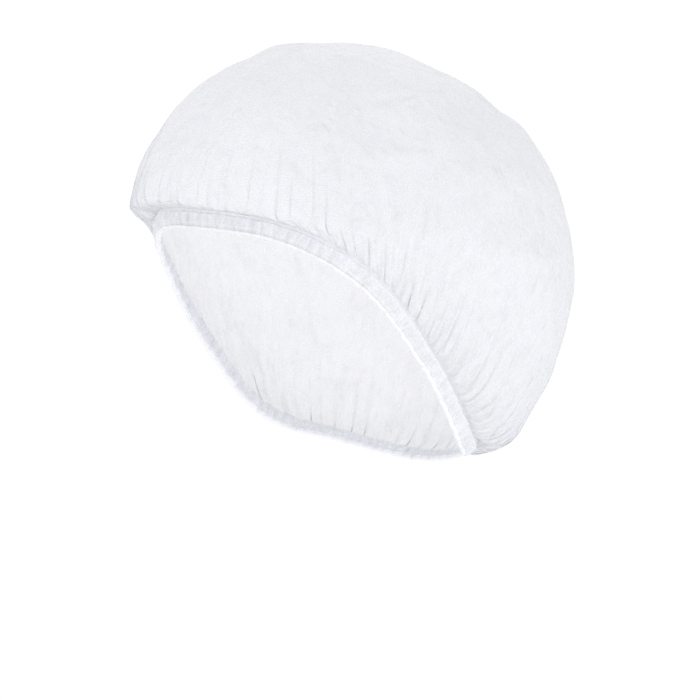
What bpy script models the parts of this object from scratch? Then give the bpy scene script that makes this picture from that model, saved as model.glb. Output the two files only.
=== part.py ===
"""Disposable hair cover cap in its worn form, with nothing inside it.

A round sheet of thin nonwoven cloth gathered onto an elastic, in three pieces:
    crown       the puffed bag of cloth, open below
    hem_casing  the strip folded round the raw edge of the crown
    elastic     the round thread that runs in the fold of the strip

Sizes are in millimetres. +Z is up, the wearer faces -Y and +X is the wearer's
left. The origin lies in the middle of the head opening, level with the places
where the hem passes above the ears. Bearings are degrees round the head, from
the forehead (0) past the left ear (90) to the nape (180).
"""

import math
from bisect import bisect_right
from collections import namedtuple
from functools import lru_cache

import bmesh
import bpy
from mathutils import Vector

MM = 0.001

# The head opening, measured along the lower edge of the hem
OPENING_HALF_LENGTH = 77.0
OPENING_HALF_BREADTH = 70.0
BROW_HEIGHT = 72.0

# The puffed bag above it
PUFF = 56.0
PUFF_RISE = 80.0
FALL = 15.0
CROWN_HEIGHT = 155.5
CROWN_TOP_BACK = 2.0

# Cloth, hem and elastic
CLOTH = 1.0
CLEARANCE = 0.3
CASING_HEIGHT = 8.5
ELASTIC_RADIUS = 0.6
FOLD_RADIUS = ELASTIC_RADIUS + CLEARANCE
CASING_RADIUS = FOLD_RADIUS + CLOTH
EDGE_LEVEL = CASING_RADIUS + ELASTIC_RADIUS + CLEARANCE
MOUTH_CLEARANCE = 1.0
BAND_LEVEL = CASING_HEIGHT + CLOTH / 2 + MOUTH_CLEARANCE

# Gathers along the hem
GATHERS = 27
COLUMNS_PER_GATHER = 4
COLUMNS = GATHERS * COLUMNS_PER_GATHER
GATHER_DEPTH = 2.2
DENT_DEPTH = 4.0

# How the cap changes round the head. Columns:
#   hem    height of the opening edge, share of BROW_HEIGHT
#   lean   outward lean of the hem band in degrees
#   puff   how far the widest ring stands out from the hem, share of PUFF
#   rise   height of the widest ring above the hem, share of PUFF_RISE
#   fall   how far the cloth falls just above the hem, share of FALL
#   under  roundness below the widest ring (under 1 makes a ledge)
#   dome   roundness above the widest ring
Station = namedtuple("Station", "bearing hem lean puff rise fall under dome")
STATIONS = (
    Station(0, 1.000, 8, 0.31, 0.17, 0.00, 1.05, 1.76),
    Station(30, 0.930, 8, 0.28, 0.17, 0.00, 1.00, 1.76),
    Station(60, 0.615, 8, 0.30, 0.35, 0.00, 1.00, 1.82),
    Station(90, 0.042, 14, 0.59, 0.80, 0.05, 1.30, 2.00),
    Station(120, -0.507, 40, 0.92, 1.02, 0.35, 1.65, 2.12),
    Station(150, -0.690, 62, 0.99, 1.05, 0.42, 1.80, 2.15),
    Station(180, -0.780, 68, 1.00, 1.03, 0.42, 1.80, 2.12),
)
STATION_STEP = 30.0

# Rings of the crown. Stages 0-1 run through the hem band, 1-2 below the widest
# ring and 2-3 over the dome.
UNDER_RINGS = 7
DOME_RINGS = 7
FIRST_STEP = 3.0
PATH_STEPS = 48
TOP_STAGE = 3.0

# How far to each side a direction on the cloth is measured
BEARING_REACH = 0.8
STAGE_REACH = 0.02

# Looks. Columns: base colour, roughness, metallic
Finish = namedtuple("Finish", "colour roughness metallic")
CROWN_CLOTH = Finish((0.80, 0.80, 0.84), 0.7, 0.0)
HEM_CLOTH = Finish((0.86, 0.86, 0.88), 0.7, 0.0)
ELASTIC_THREAD = Finish((0.84, 0.84, 0.82), 0.6, 0.0)
SHARP_EDGE = 50.0

# How deep the gathers are at each stage, as a share of GATHER_DEPTH
GatherDepth = namedtuple("GatherDepth", "stage share")
GATHER_DEPTHS = (
    GatherDepth(1.00, 0.0),
    GatherDepth(1.15, 0.7),
    GatherDepth(1.35, 1.0),
    GatherDepth(1.70, 0.8),
    GatherDepth(2.00, 0.4),
    GatherDepth(2.35, 0.1),
    GatherDepth(2.60, 0.0),
    GatherDepth(3.00, 0.0),
)

# Soft dents and swellings pressed into the cloth. Columns: bearing and stage of
# the middle, half width in degrees, half length in stages, share of DENT_DEPTH.
Dent = namedtuple("Dent", "bearing stage width length depth")
DENTS = (
    Dent(-78, 2.68, 20, 0.14, -0.35),
    Dent(-66, 1.60, 22, 0.30, -0.95),
    Dent(-48, 2.26, 16, 0.14, -0.70),
    Dent(-38, 1.90, 16, 0.10, 0.65),
    Dent(-14, 2.34, 12, 0.26, -0.50),
    Dent(22, 2.45, 16, 0.22, 0.35),
    Dent(60, 2.52, 13, 0.20, -0.35),
    Dent(92, 2.42, 12, 0.26, 0.35),
    Dent(112, 2.16, 13, 0.22, -0.60),
    Dent(131, 2.30, 16, 0.12, 0.45),
    Dent(134, 2.58, 16, 0.10, -0.50),
    Dent(136, 1.40, 14, 0.12, 0.35),
    Dent(150, 1.22, 14, 0.10, 0.85),
    Dent(168, 1.86, 14, 0.26, -0.60),
    Dent(-150, 2.30, 15, 0.24, 0.45),
    Dent(-122, 2.02, 13, 0.24, -0.60),
    Dent(-88, 2.36, 14, 0.24, -0.50),
)


def wrapped(angle):
    """Bring an angle in degrees into the range -180 to 180."""
    return (angle + 180.0) % 360.0 - 180.0


def station_at(bearing):
    """Blend the station table smoothly; both sides of the head are alike."""
    turn = abs(wrapped(bearing))
    index = min(int(turn // STATION_STEP), len(STATIONS) - 2)
    share = (turn - STATIONS[index].bearing) / STATION_STEP
    start, stop = STATIONS[index], STATIONS[index + 1]
    before = STATIONS[index - 1] if index > 0 else STATIONS[1]
    after = STATIONS[index + 2] if index + 2 < len(STATIONS) else STATIONS[-2]
    hold_start = 2 * share**3 - 3 * share**2 + 1
    hold_stop = 3 * share**2 - 2 * share**3
    slope_start = share**3 - 2 * share**2 + share
    slope_stop = share**3 - share**2
    values = []
    for column in range(1, len(start)):
        values.append(
            hold_start * start[column]
            + hold_stop * stop[column]
            + slope_start * (stop[column] - before[column]) / 2
            + slope_stop * (after[column] - start[column]) / 2
        )
    return Station(bearing, *values)


def outward(bearing):
    """Level direction straight out from the head at a bearing."""
    turn = math.radians(bearing)
    return Vector((math.sin(turn), -math.cos(turn), 0.0))


def hem_point(bearing):
    """Lowest point of the hem at a bearing."""
    turn = math.radians(bearing)
    reach = 1.0 / math.hypot(
        math.sin(turn) / OPENING_HALF_BREADTH,
        math.cos(turn) / OPENING_HALF_LENGTH,
    )
    point = outward(bearing) * reach
    point.z = station_at(bearing).hem * BROW_HEIGHT
    return point


def hem_frame(bearing):
    """Directions up the hem band and out through it, leaned as worn."""
    along = (hem_point(bearing + 0.5) - hem_point(bearing - 0.5)).normalized()
    level = Vector((along.y, -along.x, 0.0)).normalized()
    upright = level.cross(along).normalized()
    lean = math.radians(station_at(bearing).lean)
    band = upright * math.cos(lean) + level * math.sin(lean)
    face = level * math.cos(lean) - upright * math.sin(lean)
    return band, face


def hem_section(bearing, level, depth):
    """Point of the hem band, level up from its edge and depth out from its middle."""
    band, face = hem_frame(bearing)
    return hem_point(bearing) + band * level + face * depth


def fall_share(share):
    """Shape of the fall just outside the hem, one at its deepest place."""
    return share * (1 - share) ** 3 * 256 / 27


def crown_top():
    """Highest point of the crown."""
    return Vector((0.0, CROWN_TOP_BACK, CROWN_HEIGHT))


def widest_point(bearing):
    """Point of the widest ring at a bearing."""
    station = station_at(bearing)
    point = hem_point(bearing) + outward(bearing) * station.puff * PUFF
    point.z += station.rise * PUFF_RISE
    return point


def under_curve(bearing, turn):
    """Cloth between the hem band (turn 0) and the widest ring (turn a quarter)."""
    station = station_at(bearing)
    start = hem_section(bearing, BAND_LEVEL, 0.0)
    stop = widest_point(bearing)
    out = math.sin(turn) ** (2 / station.under)
    up = 1 - max(math.cos(turn), 0.0) ** (2 / station.under)
    point = start + (stop - start) * out
    point.z = start.z + (stop.z - start.z) * up
    point.z -= station.fall * FALL * fall_share(out)
    return point


def dome_curve(bearing, turn):
    """Cloth between the widest ring (turn 0) and the top (turn a quarter)."""
    station = station_at(bearing)
    start = widest_point(bearing)
    stop = crown_top()
    out = max(math.cos(turn), 0.0) ** (2 / station.dome)
    up = math.sin(turn) ** (2 / station.dome)
    point = stop + (start - stop) * out
    point.z = start.z + (stop.z - start.z) * up
    return point


@lru_cache(maxsize=None)
def measured_path(bearing, dome):
    """Points along one of the two curves and their distances from its start."""
    curve = dome_curve if dome else under_curve
    points = [curve(bearing, step / PATH_STEPS * math.pi / 2) for step in range(PATH_STEPS + 1)]
    lengths = [0.0]
    for low, high in zip(points, points[1:]):
        lengths.append(lengths[-1] + (high - low).length)
    return points, lengths


def point_along(path, distance):
    """Point of a measured path at a distance from its start."""
    points, lengths = path
    index = min(max(bisect_right(lengths, distance) - 1, 0), len(points) - 2)
    share = (distance - lengths[index]) / max(lengths[index + 1] - lengths[index], 1e-9)
    return points[index].lerp(points[index + 1], share)


def crown_point(bearing, stage):
    """Middle of the crown's cloth at a bearing and a stage from hem to top."""
    if stage <= 1.0:
        level = EDGE_LEVEL + (BAND_LEVEL - EDGE_LEVEL) * stage
        return hem_section(bearing, level, 0.0)
    if stage <= 2.0:
        path = measured_path(bearing, False)
        length = path[1][-1]
        crowding = math.log(length / FIRST_STEP) / math.log(UNDER_RINGS)
        return point_along(path, length * (stage - 1.0) ** crowding)
    path = measured_path(bearing, True)
    return point_along(path, path[1][-1] * (stage - 2.0))


def cloth_face(bearing, stage):
    """Direction out through the crown's cloth."""
    low = max(stage - STAGE_REACH, 1.0)
    high = min(stage + STAGE_REACH, TOP_STAGE - STAGE_REACH / 2)
    across = crown_point(bearing + BEARING_REACH, stage)
    across = across - crown_point(bearing - BEARING_REACH, stage)
    climb = crown_point(bearing, high) - crown_point(bearing, low)
    return across.cross(climb).normalized()


def dent_depth(bearing, stage):
    """Sum of the dents and swellings at one place, outward positive."""
    total = 0.0
    for dent in DENTS:
        aside = wrapped(bearing - dent.bearing) / dent.width
        along = (stage - dent.stage) / dent.length
        total += dent.depth * math.exp(-(aside**2) - along**2)
    return total * DENT_DEPTH


def gather_depth(stage):
    """Depth of the gathers at a stage, straight between the table's rows."""
    for low, high in zip(GATHER_DEPTHS, GATHER_DEPTHS[1:]):
        if stage <= high.stage:
            share = (stage - low.stage) / (high.stage - low.stage)
            return GATHER_DEPTH * (low.share + (high.share - low.share) * share)
    return 0.0


def crown_rings():
    """Rings of points of the crown, from the hem to just below its top."""
    stages = [0.0, 1.0]
    stages += [1.0 + step / UNDER_RINGS for step in range(1, UNDER_RINGS + 1)]
    stages += [2.0 + step / DOME_RINGS for step in range(1, DOME_RINGS)]
    rings = []
    for stage in stages:
        points = []
        for column in range(COLUMNS):
            bearing = column * 360.0 / COLUMNS
            point = crown_point(bearing, stage)
            if stage > 1.0:
                wave = 0.5 + 0.5 * math.cos(2 * math.pi * column / COLUMNS_PER_GATHER)
                push = gather_depth(stage) * wave + dent_depth(bearing, stage)
                point = point + cloth_face(bearing, stage) * push
            points.append(point)
        rings.append(points)
    return rings


def dress(part, finish):
    """Give an object its own material."""
    material = bpy.data.materials.new(part.name + " finish")
    material.use_nodes = True
    shader = material.node_tree.nodes["Principled BSDF"]
    shader.inputs["Base Color"].default_value = (*finish.colour, 1.0)
    shader.inputs["Roughness"].default_value = finish.roughness
    shader.inputs["Metallic"].default_value = finish.metallic
    part.data.materials.append(material)


def new_object(name, points, faces):
    """Make one object from points in millimetres, its faces turned outward."""
    mesh = bpy.data.meshes.new(name)
    mesh.from_pydata([tuple(point * MM) for point in points], [], faces)
    shell = bmesh.new()
    shell.from_mesh(mesh)
    bmesh.ops.recalc_face_normals(shell, faces=shell.faces)
    shell.to_mesh(mesh)
    shell.free()
    mesh.shade_smooth()
    mesh.set_sharp_from_angle(angle=math.radians(SHARP_EDGE))
    return bpy.data.objects.new(name, mesh)


def ring_faces(ring_count, column_count, closed_section=False):
    """Quads between neighbouring rings; the last ring joins the first if closed."""
    faces = []
    steps = ring_count if closed_section else ring_count - 1
    for ring in range(steps):
        above = (ring + 1) % ring_count
        for column in range(column_count):
            beside = (column + 1) % column_count
            faces.append(
                (
                    ring * column_count + column,
                    ring * column_count + beside,
                    above * column_count + beside,
                    above * column_count + column,
                )
            )
    return faces


def build_crown():
    """The puffed bag: one sheet with thickness, its edge inside the casing."""
    rings = crown_rings()
    points = [point for ring in rings for point in ring]
    faces = ring_faces(len(rings), COLUMNS)
    points.append(crown_top())
    last = (len(rings) - 1) * COLUMNS
    for column in range(COLUMNS):
        beside = (column + 1) % COLUMNS
        faces.append((last + column, last + beside, len(points) - 1))
    crown = new_object("crown", points, faces)
    thickness = crown.modifiers.new("cloth thickness", "SOLIDIFY")
    thickness.thickness = CLOTH * MM
    thickness.offset = 0.0
    thickness.use_even_offset = True
    thickness.use_rim = True
    dress(crown, CROWN_CLOTH)
    return crown


def casing_section():
    """Outline of the folded strip as (level, depth) pairs, wall by wall."""
    middle = CASING_RADIUS
    section = [(CASING_HEIGHT, CASING_RADIUS)]
    for turn in (0, 45, 90, 135, 180):
        angle = math.radians(turn)
        section.append(
            (
                middle - CASING_RADIUS * math.sin(angle),
                CASING_RADIUS * math.cos(angle),
            )
        )
    section.append((CASING_HEIGHT, -CASING_RADIUS))
    section.append((CASING_HEIGHT, -FOLD_RADIUS))
    for turn in (180, 135, 90, 45, 0):
        angle = math.radians(turn)
        section.append(
            (
                middle - FOLD_RADIUS * math.sin(angle),
                FOLD_RADIUS * math.cos(angle),
            )
        )
    section.append((CASING_HEIGHT, FOLD_RADIUS))
    return section


def build_casing():
    """The strip folded round the crown's edge, its mouth upward."""
    section = casing_section()
    points = []
    for level, depth in section:
        for column in range(COLUMNS):
            points.append(hem_section(column * 360.0 / COLUMNS, level, depth))
    casing = new_object("hem_casing", points, ring_faces(len(section), COLUMNS, True))
    dress(casing, HEM_CLOTH)
    return casing


def build_elastic():
    """The round thread lying free in the fold of the casing."""
    curve = bpy.data.curves.new("elastic", "CURVE")
    curve.dimensions = "3D"
    curve.bevel_depth = ELASTIC_RADIUS * MM
    curve.bevel_resolution = 2
    curve.use_fill_caps = True
    spline = curve.splines.new("POLY")
    spline.points.add(COLUMNS - 1)
    for column, point in enumerate(spline.points):
        place = hem_section(column * 360.0 / COLUMNS, CASING_RADIUS, 0.0) * MM
        point.co = (*place, 1.0)
    spline.use_cyclic_u = True
    elastic = bpy.data.objects.new("elastic", curve)
    dress(elastic, ELASTIC_THREAD)
    return elastic


def main():
    """Clear the scene and build the three pieces on one empty."""
    for old in list(bpy.data.objects):
        bpy.data.objects.remove(old, do_unlink=True)
    collection = bpy.data.collections.new("disposable_hair_cover_cap")
    bpy.context.scene.collection.children.link(collection)
    head_opening = bpy.data.objects.new("head_opening", None)
    collection.objects.link(head_opening)
    for part in (build_crown(), build_casing(), build_elastic()):
        part.parent = head_opening
        collection.objects.link(part)


main()
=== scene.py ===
"""Disposable hair cover cap, worn form: a sheer nonwoven bag gathered onto an elastic hem."""

import logging
import math
from dataclasses import dataclass
from enum import Enum

import bpy
import numpy as np
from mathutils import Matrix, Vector, noise


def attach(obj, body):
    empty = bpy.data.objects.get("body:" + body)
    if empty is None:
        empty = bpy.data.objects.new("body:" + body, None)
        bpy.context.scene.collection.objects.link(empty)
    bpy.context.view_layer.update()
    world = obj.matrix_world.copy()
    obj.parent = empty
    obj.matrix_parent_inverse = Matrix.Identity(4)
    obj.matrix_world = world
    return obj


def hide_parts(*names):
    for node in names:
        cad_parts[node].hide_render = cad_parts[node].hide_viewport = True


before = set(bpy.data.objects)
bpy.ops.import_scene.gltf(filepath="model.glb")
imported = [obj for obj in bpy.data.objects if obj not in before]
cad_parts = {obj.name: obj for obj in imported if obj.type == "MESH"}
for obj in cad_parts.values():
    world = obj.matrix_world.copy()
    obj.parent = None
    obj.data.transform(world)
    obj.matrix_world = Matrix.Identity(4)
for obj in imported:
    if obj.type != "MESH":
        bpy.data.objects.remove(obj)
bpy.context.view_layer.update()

log = logging.getLogger("hair cover")

MM = 0.001
FULL_TURN = 360.0
HALF_TURN = 180.0
TINY_LENGTH = 1e-6
TINY_AREA = 1e-9
FLAT_CLOTH = "flat cloth"

Socket = bpy.types.NodeSocket


# Named options


class LightRole(Enum):
    """What each studio light is for."""

    KEY = "key light"
    SIDE = "side light"
    FRONT = "front light"
    BACK = "back light"


class Corners(Enum):
    """Corners of a quad as steps of column and row, in the order that turns it outward."""

    BAG = ((0, 0), (1, 0), (1, 1), (0, 1))
    CASING = ((0, 1), (1, 1), (1, 0), (0, 0))
    THREAD = ((0, 0), (0, 1), (1, 1), (1, 0))


# Form of the cap


@dataclass(frozen=True)
class Station:
    """Shape of the cap at one bearing round the head; lengths are shares of the form's sizes."""

    bearing: float
    hem: float
    lean: float
    puff: float
    rise: float
    fall: float
    under: float
    dome: float


@dataclass(frozen=True)
class Dent:
    """A soft dent, or a swelling where the depth is positive, pressed into the cloth."""

    bearing: float
    stage: float
    width: float
    length: float
    depth: float


STATIONS: tuple[Station, ...] = (
    Station(0, 1.000, 8, 0.31, 0.17, 0.00, 1.05, 1.76),
    Station(30, 0.930, 8, 0.28, 0.17, 0.00, 1.00, 1.76),
    Station(60, 0.615, 8, 0.30, 0.35, 0.00, 1.00, 1.82),
    Station(90, 0.042, 14, 0.59, 0.80, 0.05, 1.30, 2.00),
    Station(120, -0.507, 40, 0.92, 1.02, 0.35, 1.65, 2.12),
    Station(150, -0.690, 62, 0.99, 1.05, 0.42, 1.80, 2.15),
    Station(180, -0.780, 68, 1.00, 1.03, 0.42, 1.80, 2.12),
)

DENTS: tuple[Dent, ...] = (
    Dent(-78, 2.68, 20, 0.14, -0.35),
    Dent(-66, 1.60, 22, 0.30, -0.95),
    Dent(-48, 2.26, 16, 0.14, -0.70),
    Dent(-38, 1.90, 16, 0.10, 0.65),
    Dent(-14, 2.34, 12, 0.26, -0.50),
    Dent(22, 2.45, 16, 0.22, 0.35),
    Dent(60, 2.52, 13, 0.20, -0.35),
    Dent(92, 2.42, 12, 0.26, 0.35),
    Dent(112, 2.16, 13, 0.22, -0.60),
    Dent(131, 2.30, 16, 0.12, 0.45),
    Dent(134, 2.58, 16, 0.10, -0.50),
    Dent(136, 1.40, 14, 0.12, 0.35),
    Dent(150, 1.22, 14, 0.10, 0.85),
    Dent(168, 1.86, 14, 0.26, -0.60),
    Dent(-150, 2.30, 15, 0.24, 0.45),
    Dent(-122, 2.02, 13, 0.24, -0.60),
    Dent(-88, 2.36, 14, 0.24, -0.50),
)

# Highest value of x (1 - x)^3, the curve of the fall below the band
FALL_PEAK = 27 / 256


def round_the_head(columns: int) -> np.ndarray:
    """Even bearings in degrees, one for each column of a piece."""
    return np.arange(columns) * FULL_TURN / columns


def wrapped(bearings: np.ndarray) -> np.ndarray:
    """Bearings brought to the half turns before and after the brow."""
    return (bearings + HALF_TURN) % FULL_TURN - HALF_TURN


def soft_step(value: np.ndarray, low: float, high: float) -> np.ndarray:
    """Rise smoothly from zero at low to one at high.

    Args:
        value: Values to look up.
        low: Where the rise starts.
        high: Where the rise ends.

    Returns:
        Shares from zero to one, in the shape of value.
    """
    share = np.clip((value - low) / (high - low), 0.0, 1.0)
    return share * share * (3.0 - 2.0 * share)


@dataclass(frozen=True)
class Unevenness:
    """An uneven wave that closes round the head: sines of chance strength and phase.

    The peak is about the wave's greatest height over its root mean square.
    """

    seed: int
    fewest: int
    most: int
    strengths: tuple[float, float] = (0.4, 1.0)
    peak: float = 1.6

    def at(self, bearings: np.ndarray) -> np.ndarray:
        """Height of the wave.

        Args:
            bearings: Bearings in degrees.

        Returns:
            Values of about -1 to 1, in the shape of bearings.
        """
        rng = np.random.default_rng(self.seed)
        turn = np.radians(bearings)
        total = np.zeros_like(turn)
        power = 0.0
        for count in range(self.fewest, self.most + 1):
            weight = rng.uniform(*self.strengths)
            total += weight * np.sin(count * turn + rng.uniform(0.0, 2.0 * math.pi))
            power += weight**2 / 2.0
        return total / math.sqrt(power) / self.peak


@dataclass(frozen=True)
class Lumps:
    """Smooth noise through the cap; the size is in millimetres, the shift picks its part."""

    size: float
    shift: float

    def at(self, points: np.ndarray) -> np.ndarray:
        """Read the noise.

        Args:
            points: Points in millimetres, the last axis is x, y, z.

        Returns:
            Values of about -1 to 1, one for each point.
        """
        flat = points.reshape(-1, 3) / self.size + self.shift
        values = [noise.noise(point) for point in flat.tolist()]
        return np.array(values).reshape(points.shape[:-1])


@dataclass(frozen=True)
class CapForm:
    """Worn form of the cap in millimetres; bearings run from the brow past the left ear."""

    half_length: float = 77.0
    half_breadth: float = 70.0
    brow_height: float = 72.0
    puff: float = 56.0
    puff_rise: float = 80.0
    fall: float = 15.0
    crown_height: float = 155.5
    crown_top_back: float = 2.0
    band_level: float = 10.0
    first_step: float = 3.0
    under_rings: int = 7
    dent_depth: float = 4.0
    path_steps: int = 72
    row_crowding: float = 1.12
    half_degree: float = 0.5

    def spread(self, bearings: np.ndarray, column: str) -> np.ndarray:
        """Blend one column of the station table round the head as a Hermite curve.

        Args:
            bearings: Bearings in degrees.
            column: Name of the column.

        Returns:
            The column's value at each bearing.
        """
        table = np.array([getattr(station, column) for station in STATIONS])
        step = STATIONS[1].bearing - STATIONS[0].bearing
        turn = np.abs(wrapped(bearings))
        last = len(table) - 1
        index = np.minimum((turn // step).astype(int), last - 1)
        share = turn / step - index
        start, stop = table[index], table[index + 1]
        before = table[np.where(index > 0, index - 1, 1)]
        after = table[np.where(index + 2 <= last, index + 2, last - 1)]
        cube, square = share**3, share**2
        return (
            (2 * cube - 3 * square + 1) * start
            + (3 * square - 2 * cube) * stop
            + (cube - 2 * square + share) * (stop - before) / 2
            + (cube - square) * (after - start) / 2
        )

    @staticmethod
    def outward(bearings: np.ndarray) -> np.ndarray:
        """Level directions straight out from the head."""
        turn = np.radians(bearings)
        return np.stack([np.sin(turn), -np.cos(turn), np.zeros_like(turn)], axis=-1)

    def hem(self, bearings: np.ndarray) -> np.ndarray:
        """Lowest points of the hem.

        Args:
            bearings: Bearings in degrees.

        Returns:
            One point for each bearing.
        """
        turn = np.radians(bearings)
        reach = 1.0 / np.hypot(np.sin(turn) / self.half_breadth, np.cos(turn) / self.half_length)
        points = self.outward(bearings) * reach[..., None]
        points[..., 2] = self.spread(bearings, "hem") * self.brow_height
        return points

    def hem_lengths(self, bearings: np.ndarray) -> np.ndarray:
        """Distances along the hem.

        Args:
            bearings: Bearings in degrees, once round the head.

        Returns:
            Millimetres from the first bearing to each one, and last the whole hem.
        """
        hem = self.hem(bearings)
        steps = np.linalg.norm(np.roll(hem, -1, axis=0) - hem, axis=1)
        return np.concatenate([[0.0], np.cumsum(steps)])

    def band_frame(self, bearings: np.ndarray) -> tuple[np.ndarray, np.ndarray]:
        """Directions of the hem band.

        Args:
            bearings: Bearings in degrees.

        Returns:
            The directions up the band, and those out through it.
        """
        along = self.hem(bearings + self.half_degree) - self.hem(bearings - self.half_degree)
        level = np.stack([along[..., 1], -along[..., 0], np.zeros_like(along[..., 0])], axis=-1)
        along /= np.linalg.norm(along, axis=-1, keepdims=True)
        level /= np.linalg.norm(level, axis=-1, keepdims=True)
        upright = np.cross(level, along)
        lean = np.radians(self.spread(bearings, "lean"))[..., None]
        band = upright * np.cos(lean) + level * np.sin(lean)
        face = level * np.cos(lean) - upright * np.sin(lean)
        return band, face

    def band_point(
        self, bearings: np.ndarray, level: np.ndarray | float, depth: np.ndarray | float
    ) -> np.ndarray:
        """Points of the hem band.

        Args:
            bearings: Bearings in degrees.
            level: Distance up the band from the hem's lowest edge.
            depth: Distance out from the middle of the band.

        Returns:
            One point for each bearing.
        """
        band, face = self.band_frame(bearings)
        up = np.broadcast_to(level, bearings.shape)[..., None]
        out = np.broadcast_to(depth, bearings.shape)[..., None]
        return self.hem(bearings) + band * up + face * out

    def profiles(self, bearings: np.ndarray) -> np.ndarray:
        """Lines of the cloth from the hem band past its widest place to the crown's top.

        Args:
            bearings: Bearings in degrees.

        Returns:
            A line of points for each bearing, path_steps of them before the widest place.
        """
        shape = {
            name: self.spread(bearings, name)[:, None]
            for name in ("puff", "rise", "fall", "under", "dome")
        }
        turns = np.linspace(0.0, math.pi / 2, self.path_steps + 1)[None, :]
        sine, cosine = np.sin(turns), np.clip(np.cos(turns), 0, 1)
        start = self.band_point(bearings, self.band_level, 0.0)[:, None, :]
        widest = self.hem(bearings) + self.outward(bearings) * shape["puff"] * self.puff
        widest[:, 2] += shape["rise"][:, 0] * self.puff_rise
        widest = widest[:, None, :]
        top = np.array([0.0, self.crown_top_back, self.crown_height])[None, None, :]

        out = sine ** (2 / shape["under"])
        up = 1 - cosine ** (2 / shape["under"])
        under = start + (widest - start) * out[..., None]
        under[..., 2] = start[..., 2] + (widest[..., 2] - start[..., 2]) * up
        under[..., 2] -= shape["fall"] * self.fall * out * (1 - out) ** 3 / FALL_PEAK

        out = cosine ** (2 / shape["dome"])
        up = sine ** (2 / shape["dome"])
        dome = top + (widest - top) * out[..., None]
        dome[..., 2] = widest[..., 2] + (top[..., 2] - widest[..., 2]) * up
        return np.concatenate([under, dome[:, 1:]], axis=1)

    def meridians(
        self, bearings: np.ndarray, rows: int
    ) -> tuple[np.ndarray, np.ndarray, np.ndarray]:
        """Space the rows of the cloth along its lines.

        Args:
            bearings: Bearings in degrees.
            rows: Number of points on each line, the crown's top included.

        Returns:
            The points, their distances from the band, and their stages: 1 at the band,
            2 at the widest place and 3 at the top.
        """
        path = self.profiles(bearings)
        steps = np.linalg.norm(np.diff(path, axis=1), axis=-1)
        start = np.zeros((len(bearings), 1))
        lengths = np.concatenate([start, np.cumsum(steps, axis=1)], axis=1)
        under, whole = lengths[:, self.path_steps][:, None], lengths[:, -1][:, None]
        # Below the widest place the stages run fast next to the band and slower above it
        crowding = np.log(under / self.first_step) / math.log(self.under_rings)
        distances = whole * np.linspace(0.0, 1.0, rows)[None, :] ** self.row_crowding
        points = np.empty((len(bearings), rows, 3))
        for column, (at, length) in enumerate(zip(distances, lengths)):
            for axis in range(3):
                points[column, :, axis] = np.interp(at, length, path[column, :, axis])
        low = 1.0 + np.clip(distances / under, 0, 1) ** (1 / crowding)
        high = 2.0 + (distances - under) / (whole - under)
        return points, distances, np.where(distances < under, low, high)

    def dents(self, bearings: np.ndarray, stages: np.ndarray) -> np.ndarray:
        """Depth of the dents and swellings.

        Args:
            bearings: Bearings in degrees, in the shape of stages.
            stages: Stages from 1 at the hem band to 3 at the top.

        Returns:
            Distances outward in millimetres.
        """
        total = np.zeros_like(stages)
        for dent in DENTS:
            aside = wrapped(bearings - dent.bearing) / dent.width
            along = (stages - dent.stage) / dent.length
            total += dent.depth * np.exp(-(aside**2) - along**2)
        return total * self.dent_depth


@dataclass(frozen=True)
class PleatReach:
    """How far up the bag one kind of pleat runs, in millimetres."""

    usual: float
    limits: tuple[float, float]
    change: Unevenness
    change_share: float = 0.5

    def fade(self, bearings: np.ndarray, distances: np.ndarray) -> np.ndarray:
        """Share of the pleats that is left up the bag.

        Args:
            bearings: Bearings in degrees, one for each column.
            distances: Distances from the band in millimetres, a row for each column.

        Returns:
            Shares from 1 at the band towards 0, in the shape of distances.
        """
        reach = self.usual * (1.0 + self.change_share * self.change.at(bearings))[:, None]
        return np.exp(-distances / np.clip(reach, *self.limits))


@dataclass(frozen=True)
class Gathers:
    """Uneven pleats in the cloth where the elastic draws the hem in; lengths in millimetres."""

    count: int = 90
    broad_count: int = 37
    casing_depth: float = 1.6
    fine_height: float = 1.0
    broad_height: float = 1.4
    broad_sharpness: float = 0.9
    usual_size: float = 0.80
    size_change: float = 0.36
    sway: float = 2.0
    drift: float = 0.8
    drift_length: float = 60.0
    start: tuple[float, float] = (0.0, 7.0)
    fine_places: Unevenness = Unevenness(3, 5, 22)
    fine_sizes: Unevenness = Unevenness(5, 14, 44)
    broad_places: Unevenness = Unevenness(13, 3, 14)
    drifts: Unevenness = Unevenness(11, 4, 12)
    fine_reach: PleatReach = PleatReach(15.0, (6.0, 30.0), Unevenness(7, 16, 44))
    broad_reach: PleatReach = PleatReach(46.0, (18.0, 90.0), Unevenness(17, 8, 26))

    def fold(self, bearings: np.ndarray) -> np.ndarray:
        """Height of the small pleats round the hem.

        Args:
            bearings: Bearings in degrees.

        Returns:
            About 0 in a valley and 1 on a pleat, some pleats fuller than others.
        """
        phase = np.radians(bearings) * self.count + self.sway * self.fine_places.at(bearings)
        size = self.usual_size + self.size_change * self.fine_sizes.at(bearings)
        return size * np.sqrt(0.5 + 0.5 * np.cos(phase))

    def bag_ripple(self, bearings: np.ndarray, distances: np.ndarray) -> np.ndarray:
        """Ripple of the bag above the band.

        Args:
            bearings: Bearings in degrees, one for each column.
            distances: Distances from the band in millimetres, a row for each column.

        Returns:
            Distances outward in millimetres, in the shape of distances.
        """
        drift = self.drift * self.drifts.at(bearings)[:, None] * distances / self.drift_length
        turned = bearings[:, None] + drift
        fine = 2.0 * self.fold(turned) - 1.0
        fine *= self.fine_reach.fade(bearings, distances)
        phase = np.radians(turned) * self.broad_count + self.sway * self.broad_places.at(turned)
        broad = 2.0 * (0.5 + 0.5 * np.cos(phase)) ** self.broad_sharpness - 1.0
        broad *= self.broad_reach.fade(bearings, distances)
        start = soft_step(distances, *self.start)
        return start * (self.fine_height * fine + self.broad_height * broad)


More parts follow.
